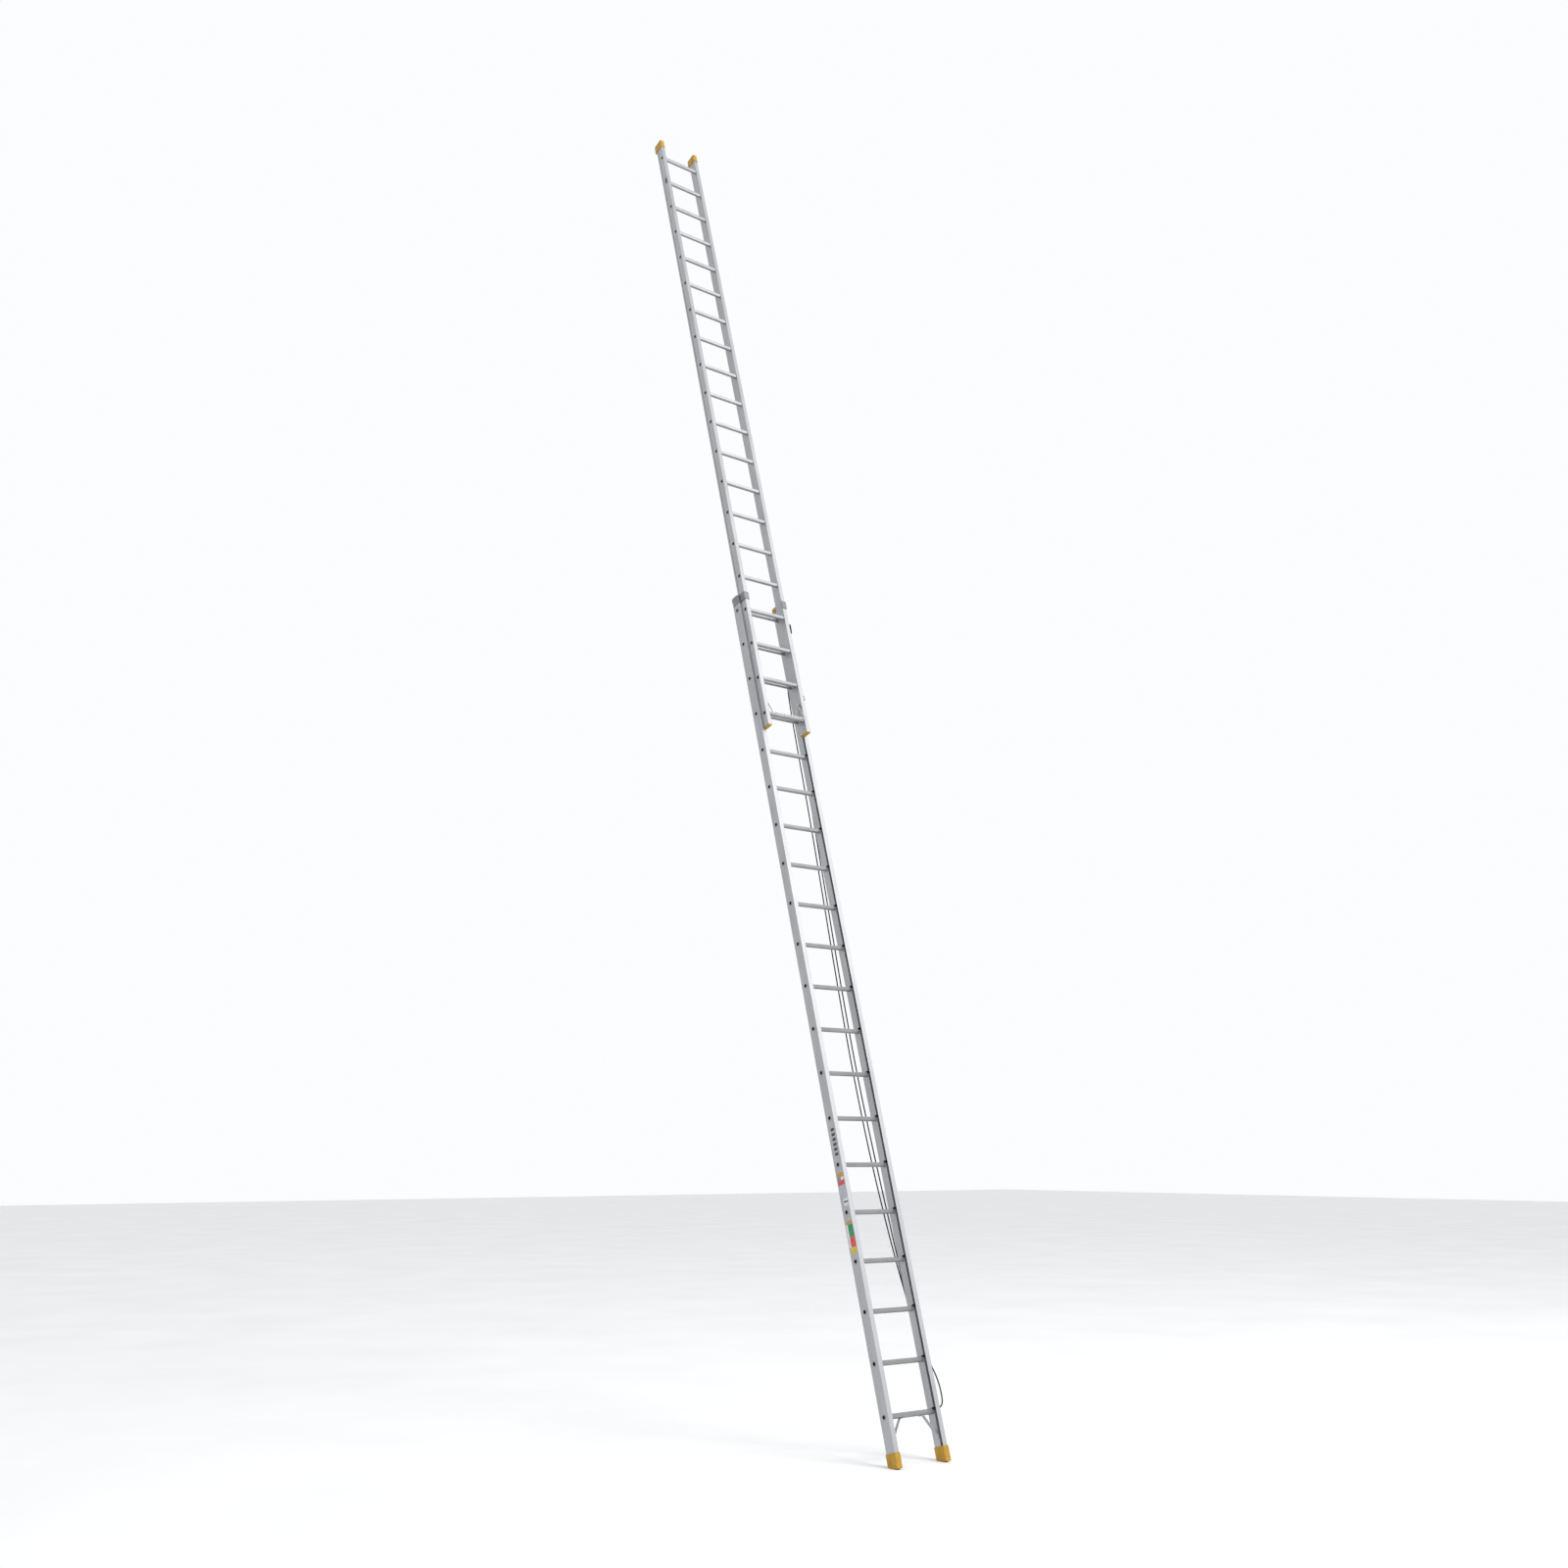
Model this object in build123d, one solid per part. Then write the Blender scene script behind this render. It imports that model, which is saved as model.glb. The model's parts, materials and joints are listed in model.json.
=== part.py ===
from build123d import *
from math import cos, radians, sin, tan
import os

# Two-section aluminium extension ladder, modelled at working lean with the fly section run out.
# Every piece is drawn on an upright ladder and tipped back to the working lean when it is written.
# Upright axes: X runs across the rungs, the climber's side faces -Y, and Z runs along the stiles.
# "front" counts from the base rung line towards the climber, so it is -Y on the upright ladder.

# ---- driving dimensions, millimetres and degrees ----
LEAN = 74.0                 # stile angle above the floor
PITCH = 304.8               # rung spacing
RUNGS = 20                  # rungs in each section
OVERLAP = 4                 # rungs shared when fully extended
FLY_DROP = 32.0             # each shared fly rung sits this far below its base rung
FIRST_RUNG = 285.0          # floor to first base rung, along the stile

BASE_WIDTH = 420.0          # outside of the base stiles
STILE_THICK = 34.0          # flange width of a stile
FLY_INSET = 16.0            # each fly stile sits this far inside the base stile
BASE_BACK = -42.0           # back of the base stile
BASE_FRONT = 40.0           # front flange face of the base stile
BASE_BOX_FRONT = 18.2       # front of the base stile's closed box
FLANGE = 3.0                # base front flange thickness
WALL = 2.6                  # extrusion wall
FLY_BACK = 18.7             # back of the fly stile, just clear of the base box
FLY_FRONT = 100.0
FLY_RUNG_FRONT = 79.0       # fly rung line
SLIDE_GAP = 0.6             # clearance of the sliding interlock
STILE_BOTTOM = 22.0
BASE_TOP_END = 115.0        # stile above the last base rung
FLY_BOTTOM_END = 100.0      # stile below the first fly rung
FLY_TOP_END = 205.0         # stile above the last fly rung

RUNG_WIDTH = 27.0           # tread depth
RUNG_TOP = 14.0             # tread height above the rung axis
RUNG_ROUND = -2.5           # centre of the rounded underside
RUNG_WALL = 2.0
SPIGOT_R = 12.5             # round rung end that passes through the stile
RUNG_BORE_R = 10.3
COLLAR_R = 15.5             # swaged collar outside the stile
COLLAR_THICK = 2.2
FIT = 0.05                  # gap all round a pin or a rung in its hole

ROPE_D = 9.0
SHEAVE_PITCH_R = 28.5       # rope centre line on the sheave
SHEAVE_R = 33.0
SHEAVE_ALONG = 5975.0
SHEAVE_FRONT = 28.0
ROPE_ACROSS = 226.0         # rope line beside the right stile
ANCHOR_ALONG = 5350.0       # rope anchor on the fly stile
AXLE_R = 5.0

LOCK_ALONG = 142.0          # lock pivot above the first fly rung
LOCK_FRONT = 66.0
LOCK_ROD_R = 4.0
LOCK_PIN_R = 4.0

# ---- derived sizes ----
LEAN_BACK = 90.0 - LEAN
BASE_X = BASE_WIDTH / 2
BASE_IN = BASE_X - STILE_THICK
FLY_X = BASE_X - FLY_INSET
FLY_IN = FLY_X - STILE_THICK
BASE_TOP = FIRST_RUNG + (RUNGS - 1) * PITCH + BASE_TOP_END
FIRST_FLY_RUNG = FIRST_RUNG + (RUNGS - OVERLAP) * PITCH - FLY_DROP
FLY_BOTTOM = FIRST_FLY_RUNG - FLY_BOTTOM_END
FLY_TOP = FIRST_FLY_RUNG + (RUNGS - 1) * PITCH + FLY_TOP_END
BASE_RUNG_LEVELS = [FIRST_RUNG + k * PITCH for k in range(RUNGS)]
FLY_RUNG_LEVELS = [FIRST_FLY_RUNG + k * PITCH for k in range(RUNGS)]
SLOT_BACK = BASE_FRONT - FLANGE - SLIDE_GAP
SLOT_FRONT = BASE_FRONT + SLIDE_GAP
SLOT_FLOOR = BASE_IN - SLIDE_GAP

# ---- rivets and pins: (across, front, along, grip in, grip out) on the right-hand side ----
RIVET_R = 2.4
RIVET_HEAD_R = 5.0
RIVET_HEAD = 2.0
BRACKET_LOW = BASE_TOP - 63.0
BRACKET_HIGH = BASE_TOP + 2.0
BRACKET_RIVETS = [(-20.0, BRACKET_LOW + 18.0), (6.0, BRACKET_LOW + 18.0)]
BLOCK_RIVETS = [(-24.0, SHEAVE_ALONG - 28.0), (-24.0, SHEAVE_ALONG + 28.0)]
FOOT_RIVET = (-12.0, 98.0)
BRACE_RIVET = (0.0, FIRST_RUNG - 146.0)
ANCHOR_RIVETS = [(58.0, ANCHOR_ALONG - 20.0), (58.0, ANCHOR_ALONG + 20.0)]
PLATE = 3.0                 # bracket and cheek plate thickness


# ---- drawing helpers ----
def spot(across, front, along):
    return Vector(across, -front, along)


def panel(x0, x1, front0, front1):
    """Rectangle in the cross-section plane of a stile."""
    return Pos((x0 + x1) / 2, -(front0 + front1) / 2) * Rectangle(x1 - x0, front1 - front0)


def block(x0, x1, front0, front1, along0, along1):
    centre = spot((x0 + x1) / 2, (front0 + front1) / 2, (along0 + along1) / 2)
    return Pos(centre) * Box(x1 - x0, front1 - front0, along1 - along0)


def rod(x0, x1, front, along, radius):
    """Cylinder along the rung direction."""
    plane = Plane(origin=spot(x0, front, along), z_dir=(1, 0, 0))
    return extrude(plane * Circle(radius), x1 - x0)


def raise_section(section, along0, along1):
    return extrude(Pos(0, 0, along0) * section, along1 - along0)


def near_corners(section, corners):
    """The corners of a section that lie at the given (across, front) places."""
    return [v for v in section.vertices() for x, f in corners if abs(v.X - x) + abs(v.Y + f) < 0.01]


def left_of(shape):
    return mirror(shape, about=Plane.YZ)


def both_sides(solids):
    return list(solids) + [left_of(s) for s in solids]


# ---- rungs ----
def rung_outline(inset):
    half = RUNG_WIDTH / 2 - inset
    top = RUNG_TOP - inset
    body = Pos(0, (top + RUNG_ROUND) / 2) * Rectangle(2 * half, top - RUNG_ROUND)
    corner = 2.5 - inset / 2
    body = fillet(body.vertices().group_by(Axis.Y)[-1], corner)
    return body + Pos(0, RUNG_ROUND) * Circle(half)


def tread_grooves():
    """Grip grooves along the flat top of a rung."""
    return [Pos(k * 4.2, RUNG_TOP) * Rectangle(1.8, 1.6) for k in (-2, -1, 0, 1, 2)]


def across_plane(along, front, x):
    """Section plane of a rung, turned so that the tread is level at the working lean."""
    turn = radians(LEAN_BACK)
    return Plane(origin=spot(x, front, along), x_dir=(0, cos(turn), sin(turn)), z_dir=(1, 0, 0))


def rung(along, front, stile_in, stile_out):
    shoulder = stile_in + 6.0
    start = across_plane(along, front, -shoulder)
    outer = extrude(start * (rung_outline(0) - tread_grooves()), 2 * shoulder)
    inner_start = across_plane(along, front, -(shoulder - RUNG_WALL))
    hollow = extrude(inner_start * rung_outline(RUNG_WALL), 2 * (shoulder - RUNG_WALL))
    end = stile_out + COLLAR_THICK
    spigot = rod(-end, end, front, along, SPIGOT_R)
    collars = [rod(x, x + COLLAR_THICK, front, along, COLLAR_R) for x in (-end, stile_out)]
    rims = [e for c in collars for e in c.edges() if abs(abs(e.center().X) - end) < 0.01]
    collars = [fillet([e for e in rims if abs(e.center().X - (c.center().X)) < COLLAR_THICK], 1.4)
               for c in collars]
    bore = rod(-end - 1, end + 1, front, along, RUNG_BORE_R)
    return outer + spigot + collars - hollow - bore


def rung_cutters(levels, front, stile_in, stile_out):
    """Holes that one right-hand stile needs for its rungs."""
    cuts = []
    for along in levels:
        start = across_plane(along, front, stile_in - 1)
        cuts.append(extrude(start * rung_outline(-FIT), WALL + 1.5))
        cuts.append(rod(stile_in + 3, stile_out + 1, front, along, SPIGOT_R + FIT))
    return cuts


# ---- stiles ----
def base_section():
    box = panel(BASE_IN, BASE_X, BASE_BACK, BASE_BOX_FRONT)
    wall = panel(BASE_X - WALL, BASE_X, BASE_BOX_FRONT - 1, BASE_FRONT)
    flange = panel(BASE_IN, BASE_X, BASE_FRONT - FLANGE, BASE_FRONT)
    void = panel(BASE_IN + WALL, BASE_X - WALL, BASE_BACK + WALL, BASE_BOX_FRONT - WALL)
    section = box + wall + flange - void
    corners = [(BASE_X, BASE_FRONT), (BASE_X, BASE_BACK), (BASE_IN, BASE_BACK)]
    section = fillet(near_corners(section, corners), 2.5)
    return fillet(near_corners(section, [(BASE_IN, BASE_FRONT), (BASE_IN, BASE_FRONT - FLANGE)]), 1.2)


def base_stile():
    stile = raise_section(base_section(), STILE_BOTTOM, BASE_TOP)
    cuts = rung_cutters(BASE_RUNG_LEVELS, 0.0, BASE_IN, BASE_X)
    relief_x = (BASE_IN - 1, BASE_IN + 22.0)
    cuts += [block(*relief_x, 1.0, BASE_BOX_FRONT + 1, s + 5.0, s + 23.0) for s in BASE_RUNG_LEVELS]
    web = (BASE_X - WALL - 1, BASE_X + 1)
    cuts += [rod(*web, f, s, RIVET_R + FIT) for f, s in BRACKET_RIVETS]
    foot_front, foot_along = FOOT_RIVET
    cuts.append(rod(BASE_IN - 1, BASE_X + 1, foot_front, foot_along, RIVET_R + FIT))
    brace_front, brace_along = BRACE_RIVET
    cuts.append(rod(BASE_IN - 1, BASE_IN + WALL + 1, brace_front, brace_along, RIVET_R + FIT))
    return stile - cuts


def base_stile_right():
    web = (BASE_X - WALL - 1, BASE_X + 1)
    cuts = [rod(*web, f, s, RIVET_R + FIT) for f, s in BLOCK_RIVETS]
    cuts.append(rod(*web, SHEAVE_FRONT, SHEAVE_ALONG, AXLE_R + FIT))
    return base_stile() - cuts


def fly_section():
    outline = panel(FLY_IN, FLY_X, FLY_BACK, FLY_FRONT)
    slot = panel(SLOT_FLOOR, FLY_X + 1, SLOT_BACK, SLOT_FRONT)
    neck_x = SLOT_FLOOR - WALL
    hook = panel(FLY_IN + WALL, FLY_X - WALL, FLY_BACK + WALL, SLOT_BACK - WALL)
    neck = panel(FLY_IN + WALL, neck_x, FLY_BACK + WALL, FLY_FRONT - WALL)
    main = panel(FLY_IN + WALL, FLY_X - WALL, SLOT_FRONT + WALL, FLY_FRONT - WALL)
    section = outline - slot - (hook + neck + main)
    corners = [(FLY_X, FLY_FRONT), (FLY_IN, FLY_FRONT), (FLY_X, FLY_BACK), (FLY_IN, FLY_BACK)]
    return fillet(near_corners(section, corners), 2.5)


def fly_stile():
    stile = raise_section(fly_section(), FLY_BOTTOM, FLY_TOP)
    cuts = rung_cutters(FLY_RUNG_LEVELS, FLY_RUNG_FRONT, FLY_IN, FLY_X)
    cuts.append(rod(FLY_IN - 1, FLY_X + 1, LOCK_FRONT, FIRST_FLY_RUNG + LOCK_ALONG, LOCK_PIN_R + FIT))
    return stile - cuts


def fly_stile_right():
    web = (FLY_X - WALL - 1, FLY_X + 1)
    return fly_stile() - [rod(*web, f, s, RIVET_R + FIT) for f, s in ANCHOR_RIVETS]


# ---- feet and end caps ----
def above_floor():
    """Everything over the floor, as a big block on the upright ladder."""
    size = 1000.0
    return Rot(LEAN_BACK, 0, 0) * Pos(0, 0, size / 2) * Box(size, size, size)


def foot():
    skin = 5.0
    boot = block(BASE_IN - skin, BASE_X + skin, BASE_BACK - skin, BASE_FRONT + skin, -4.0, 84.0)
    boot = fillet(boot.edges().filter_by(Axis.Z), 7.0)
    boot = fillet(boot.edges().group_by(Axis.Z)[-1], 1.5)
    boot = boot & above_floor()
    low = [e for e in boot.edges() if e.center().Z < 17.0]
    boot = fillet(low, 5.0)
    socket = block(BASE_IN - FIT, BASE_X + FIT, BASE_BACK - FIT, BASE_FRONT + FIT, STILE_BOTTOM, 90.0)
    grooves = [block(x - 1.5, x + 1.5, -12.0, 6.0, 20.0, 78.0) for x in (BASE_IN - skin, BASE_X + skin)]
    plug = block(BASE_IN + WALL + FIT, BASE_X - WALL - FIT, BASE_BACK + WALL + FIT,
                 BASE_BOX_FRONT - WALL - FIT, STILE_BOTTOM - 2, 112.0)
    rivet_front, rivet_along = FOOT_RIVET
    hole = rod(BASE_IN, BASE_X, rivet_front, rivet_along, RIVET_R + FIT)
    return boot - socket - grooves + plug - hole


def base_top_cap():
    lap = 3.0
    low = BASE_TOP - 28.0
    high = BASE_TOP + 14.0
    lid = block(BASE_IN - lap, BASE_X, BASE_BACK - lap, BASE_BOX_FRONT, BASE_TOP, high)
    side = block(BASE_IN - lap, BASE_IN, BASE_BACK - lap, BASE_BOX_FRONT, low, high)
    back = block(BASE_IN - lap, BASE_X, BASE_BACK - lap, BASE_BACK, low, high)
    body = lid + side + back
    body = fillet(body.edges().filter_by(Axis.Z).group_by(Axis.Y)[-1], 2.5)
    body = fillet(body.edges().group_by(Axis.Z)[-1], 2.0)
    plug = block(BASE_IN + WALL + FIT, BASE_X - WALL - FIT, BASE_BACK + WALL + FIT,
                 BASE_BOX_FRONT - WALL - FIT, BASE_TOP - 25.0, BASE_TOP + 1)
    return body + plug


def wall_side(back_front, along):
    """Block behind a vertical wall that touches the cap at the given place."""
    size = 400.0
    corner = Rot(-LEAN_BACK, 0, 0) * Pos(spot(0, back_front, along))
    wall_y = corner.position.Y
    return Rot(LEAN_BACK, 0, 0) * Pos(FLY_X, wall_y + size / 2, corner.position.Z) * Box(size, size, size)


def fly_top_cap():
    skin = 3.5
    bumper = 18.0
    low = FLY_TOP - 76.0
    high = FLY_TOP + 5.0
    cap = block(FLY_IN - skin, FLY_X + skin, FLY_BACK - bumper, FLY_FRONT + skin, low, high)
    cap = fillet(cap.edges().filter_by(Axis.Z), 6.0)
    cap = cap - wall_side(FLY_BACK - bumper, high - 46.0)
    cap = fillet(cap.edges().group_by(Axis.Z)[-1], 4.0)
    socket = block(FLY_IN - FIT, FLY_X + FIT, FLY_BACK - FIT, FLY_FRONT + FIT, low - 1, FLY_TOP)
    return cap - socket


def fly_bottom_cap():
    low = FLY_BOTTOM - 9.0
    lid = block(FLY_IN, FLY_X, FLY_BACK, FLY_FRONT, low, FLY_BOTTOM)
    lid = fillet(lid.edges().group_by(Axis.Z)[0], 2.0)
    slot = block(SLOT_FLOOR - 0.4, FLY_X + 1, SLOT_BACK - 0.4, SLOT_FRONT + 0.4, low - 1, FLY_BOTTOM + 1)
    plug = block(FLY_IN + WALL + FIT, FLY_X - WALL - FIT, SLOT_FRONT + WALL + FIT,
                 FLY_FRONT - WALL - FIT, FLY_BOTTOM - 1, FLY_BOTTOM + 24.0)
    return lid - slot + plug


# ---- guide brackets and braces ----
def guide_bracket():
    """Jogged plate on the base stile that wraps round the front of the sliding fly stile."""
    jog = 42.0
    front_x = FLY_X + 3.0
    lip = FLY_FRONT + 1.0
    hook_x = FLY_IN - 1.0
    section = panel(BASE_X, BASE_X + PLATE, -30.0, jog + PLATE)
    section += panel(front_x, BASE_X + PLATE, jog, jog + PLATE)
    section += panel(front_x, front_x + PLATE, jog, lip + PLATE)
    section += panel(hook_x - PLATE, front_x + PLATE, lip, lip + PLATE)
    section += panel(hook_x - PLATE, hook_x, lip - 4.5, lip + PLATE)
    section = fillet(section.vertices(), 1.1)
    bracket = raise_section(section, BRACKET_LOW, BRACKET_HIGH)
    return bracket - [rod(BASE_X - 1, BASE_X + 5, f, s, RIVET_R + FIT) for f, s in BRACKET_RIVETS]


BRACE_RUNG_X = 82.0
BRACE_THICK = 3.0
BRACE_HALF = 12.0
BRACE_TOP = FIRST_RUNG + RUNG_ROUND * cos(radians(LEAN_BACK)) - RUNG_WIDTH / 2 - FIT


def brace():
    """Flat strip from under the first rung to the inside of the stile, with a bent tab at each end."""
    mid = BRACE_THICK / 2
    stile_x = BASE_IN - mid
    tab_top = BRACE_TOP - mid
    route = [(BRACE_RUNG_X - 13, tab_top), (BRACE_RUNG_X + 13, tab_top),
             (stile_x, BRACE_RIVET[1] + 14), (stile_x, BRACE_RIVET[1] - 14)]
    face = Plane(origin=spot(0, BRACE_HALF, 0), x_dir=(1, 0, 0), z_dir=(0, 1, 0))
    line = FilletPolyline(*[(x, -s) for x, s in route], radius=5.0)
    strip = extrude(face * trace(line, BRACE_THICK), 2 * BRACE_HALF)
    rivet_front, rivet_along = BRACE_RIVET
    return strip - [rod(BASE_IN - 6, BASE_IN + 1, rivet_front, rivet_along, RIVET_R + FIT)]


# ---- rivets ----
def rivet(x_in, x_out, front, along):
    """Blind rivet along the rung direction: a shank through the plates and a domed head on each end."""
    shank = rod(x_in, x_out, front, along, RIVET_R)
    inner = rod(x_in - RIVET_HEAD, x_in, front, along, RIVET_HEAD_R)
    outer = rod(x_out, x_out + RIVET_HEAD, front, along, RIVET_HEAD_R)
    inner = fillet(inner.edges().group_by(Axis.X)[0], 1.2)
    outer = fillet(outer.edges().group_by(Axis.X)[-1], 1.2)
    return shank + inner + outer


def base_rivets():
    web = BASE_X - WALL
    brackets = [rivet(web, BASE_X + PLATE, f, s) for f, s in BRACKET_RIVETS]
    feet = [rivet(BASE_IN, BASE_X, *FOOT_RIVET)]
    braces = [rivet(BASE_IN - BRACE_THICK, BASE_IN + WALL, *BRACE_RIVET)]
    pulley = [rivet(web, BASE_X + PLATE, f, s) for f, s in BLOCK_RIVETS]
    return Compound(children=both_sides(brackets + feet + braces) + pulley)


def lock_pivot_pin():
    """Pin through the fly stile that carries one eye of the rung lock."""
    along = FIRST_FLY_RUNG + LOCK_ALONG
    pin = rod(FLY_IN - 18.0, FLY_X + 2.0, LOCK_FRONT, along, LOCK_PIN_R)
    inner_head = rod(FLY_IN - 18.0, FLY_IN - 15.5, LOCK_FRONT, along, 7.0)
    spacer = rod(FLY_IN - 6.5, FLY_IN, LOCK_FRONT, along, 7.0)
    outer_head = rod(FLY_X, FLY_X + 2.2, LOCK_FRONT, along, 6.5)
    outer_head = fillet(outer_head.edges().group_by(Axis.X)[-1], 1.2)
    return pin + inner_head + spacer + outer_head


def fly_rivets():
    anchor = [rivet(FLY_X - WALL, FLY_X + 3.5, f, s) for f, s in ANCHOR_RIVETS]
    return Compound(children=both_sides([lock_pivot_pin()]) + anchor)


# ---- rung lock ----
def lock_frame(front, along):
    """U of round rod hanging from the two pivot eyes, through a cross rod at (front, along)."""
    eye_x = FLY_IN - 11.0
    top = (LOCK_FRONT, FIRST_FLY_RUNG + LOCK_ALONG)
    bottom = (front, FIRST_FLY_RUNG + along)
    reach = Vector(bottom[0] - top[0], bottom[1] - top[1])
    start = Vector(*top) + reach.normalized() * 7.0
    points = [spot(eye_x, start.X, start.Y), spot(eye_x, *bottom),
              spot(-eye_x, *bottom), spot(-eye_x, start.X, start.Y)]
    line = FilletPolyline(*points, radius=11.0)
    return sweep(Plane(origin=line @ 0, z_dir=line % 0) * Circle(LOCK_ROD_R), path=line)


def rung_lock():
    along = FIRST_FLY_RUNG + LOCK_ALONG
    ears = [rod(x, x + 8.0, LOCK_FRONT, along, 9.5) for x in (-(FLY_IN - 7.0), FLY_IN - 15.0)]
    frame = lock_frame(120.0, -6.0) + lock_frame(23.6, FLY_DROP + 10.8) + ears
    return frame - rod(-FLY_IN, FLY_IN, LOCK_FRONT, along, LOCK_PIN_R + FIT)


# ---- pulley and rope ----
BLOCK_OUT = ROPE_ACROSS + 12.0


def pulley_block():
    """Two cheek plates joined over the sheave; the inner one is riveted to the right base stile."""
    low = SHEAVE_ALONG - 40.0
    high = SHEAVE_ALONG + 43.0
    front = SHEAVE_FRONT + 38.0
    inner = block(BASE_X, BASE_X + PLATE, -34.0, front, low, high)
    outer = block(BLOCK_OUT, BLOCK_OUT + PLATE, SHEAVE_FRONT - 38.0, front, low, high)
    inner = fillet(inner.edges().filter_by(Axis.X).group_by(Axis.Z)[0], 9.0)
    outer = fillet(outer.edges().filter_by(Axis.X).group_by(Axis.Z)[0], 24.0)
    bridge = block(BASE_X, BLOCK_OUT + PLATE, SHEAVE_FRONT - 38.0, front, high - PLATE, high)
    holes = [rod(BASE_X - 1, BASE_X + 5, f, s, RIVET_R + FIT) for f, s in BLOCK_RIVETS]
    axle_hole = rod(BASE_X - 1, BLOCK_OUT + 5, SHEAVE_FRONT, SHEAVE_ALONG, AXLE_R + FIT)
    return inner + outer + bridge - holes - axle_hole


def pulley_axle():
    web = BASE_X - WALL
    pin = rod(web - 2.5, BLOCK_OUT + 7.0, SHEAVE_FRONT, SHEAVE_ALONG, AXLE_R)
    inner_head = rod(web - 2.5, web, SHEAVE_FRONT, SHEAVE_ALONG, 7.5)
    outer_head = rod(BLOCK_OUT + PLATE, BLOCK_OUT + 7.0, SHEAVE_FRONT, SHEAVE_ALONG, 8.5)
    return pin + inner_head + outer_head


def pulley_wheel():
    """Grooved sheave with a hub that keeps it central between the cheeks."""
    half = 7.5
    centre = Plane(origin=spot(ROPE_ACROSS, SHEAVE_FRONT, SHEAVE_ALONG), x_dir=(0, 0, 1), z_dir=(0, 1, 0))
    disc = rod(ROPE_ACROSS - half, ROPE_ACROSS + half, SHEAVE_FRONT, SHEAVE_ALONG, SHEAVE_R)
    disc = fillet(disc.edges(), 1.0)
    groove = revolve(centre * Pos(SHEAVE_PITCH_R, 0) * Circle(ROPE_D / 2 + 0.3),
                     Axis(spot(ROPE_ACROSS, SHEAVE_FRONT, SHEAVE_ALONG), (1, 0, 0)))
    mouth = rod(ROPE_ACROSS - ROPE_D / 2, ROPE_ACROSS + ROPE_D / 2, SHEAVE_FRONT, SHEAVE_ALONG, SHEAVE_R + 1)
    mouth -= rod(ROPE_ACROSS - half, ROPE_ACROSS + half, SHEAVE_FRONT, SHEAVE_ALONG, SHEAVE_PITCH_R)
    hub = rod(BASE_X + PLATE + 0.3, BLOCK_OUT - 0.3, SHEAVE_FRONT, SHEAVE_ALONG, 9.0)
    webs = [Pos(spot(ROPE_ACROSS, SHEAVE_FRONT, SHEAVE_ALONG)) * Rot(72 * k, 0, 0)
            * Pos(0, 0, 16.0) * Rot(0, 90, 0) * Cylinder(4.2, 2 * half + 2) for k in range(5)]
    bore = rod(BASE_X, BLOCK_OUT + 5, SHEAVE_FRONT, SHEAVE_ALONG, AXLE_R + FIT)
    return disc - groove - mouth - webs + hub - bore


ARM_FRONT = SHEAVE_FRONT + SHEAVE_PITCH_R
ARM_HALF_THICK = 2.0


def rope_anchor():
    """Angle plate on the right fly stile that both rope ends are tied to."""
    plate = block(FLY_X, FLY_X + 3.5, 44.0, 72.0, ANCHOR_ALONG - 30, ANCHOR_ALONG + 30)
    plate = fillet(plate.edges().filter_by(Axis.X), 5.0)
    arm = block(FLY_X, ROPE_ACROSS + 11, ARM_FRONT - 11, ARM_FRONT + 11,
                ANCHOR_ALONG - ARM_HALF_THICK, ANCHOR_ALONG + ARM_HALF_THICK)
    arm = fillet(arm.edges().filter_by(Axis.Z).group_by(Axis.X)[-1], 8.0)
    rib = Polyline((FLY_X + 1, ANCHOR_ALONG), (FLY_X + 18, ANCHOR_ALONG), (FLY_X + 1, ANCHOR_ALONG - 16),
                   close=True)
    side = Plane(origin=spot(0, ARM_FRONT - 2, 0), x_dir=(1, 0, 0), z_dir=(0, -1, 0))
    gusset = extrude(side * make_face(rib), 4.0)
    holes = [rod(FLY_X - 1, FLY_X + 5, f, s, RIVET_R + FIT) for f, s in ANCHOR_RIVETS]
    return plate + arm + gusset - holes


# Rope route beside and behind the right stile, as (across, front, along).
HAUL_ROUTE = [
    (226, -0.5, 5975), (226, -0.5, 5895), (222, -22, 5795), (212, -50, 5680), (198, -60, 5550),
    (187, -64, 5380), (183, -69, 5050), (182, -79, 4450), (182, -101, 3800), (182, -129, 3100),
    (182, -142, 2480), (182, -129, 1880), (183, -97, 1420), (187, -71, 1140), (198, -56, 950),
    (208, -54, 810), (226, -46, 690), (252, -22, 570), (272, 4, 455), (268, 12, 328),
    (250, -8, 300), (224, -38, 300), (206, -58, 328), (206, -58, 365),
]
RETURN_ROUTE = [
    (206, -58, 365), (206, -58, 440), (208, -66, 560), (210, -69, 780), (209, -72, 1020),
    (208, -91, 1400), (206, -114, 1900), (205, -130, 2480), (205, -119, 3100), (205, -94, 3750),
    (206, -74, 4320), (208, -60, 4668), (214, -48, 4848), (222, -23, 4968), (226, 14, 5078),
    (226, ARM_FRONT, 5193), (226, ARM_FRONT, ANCHOR_ALONG - ARM_HALF_THICK),
]
LIFT_ROUTE = [(226, ARM_FRONT, ANCHOR_ALONG + ARM_HALF_THICK), (226, ARM_FRONT, SHEAVE_ALONG)]


def corner_radii(points):
    """Largest arc that each corner of a route has room for."""
    radii = []
    for before, here, after in zip(points, points[1:], points[2:]):
        arriving = here - before
        leaving = after - here
        half_turn = radians(arriving.get_angle(leaving)) / 2
        radii.append(0.45 * min(arriving.length, leaving.length) / tan(half_turn))
    return radii


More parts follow.
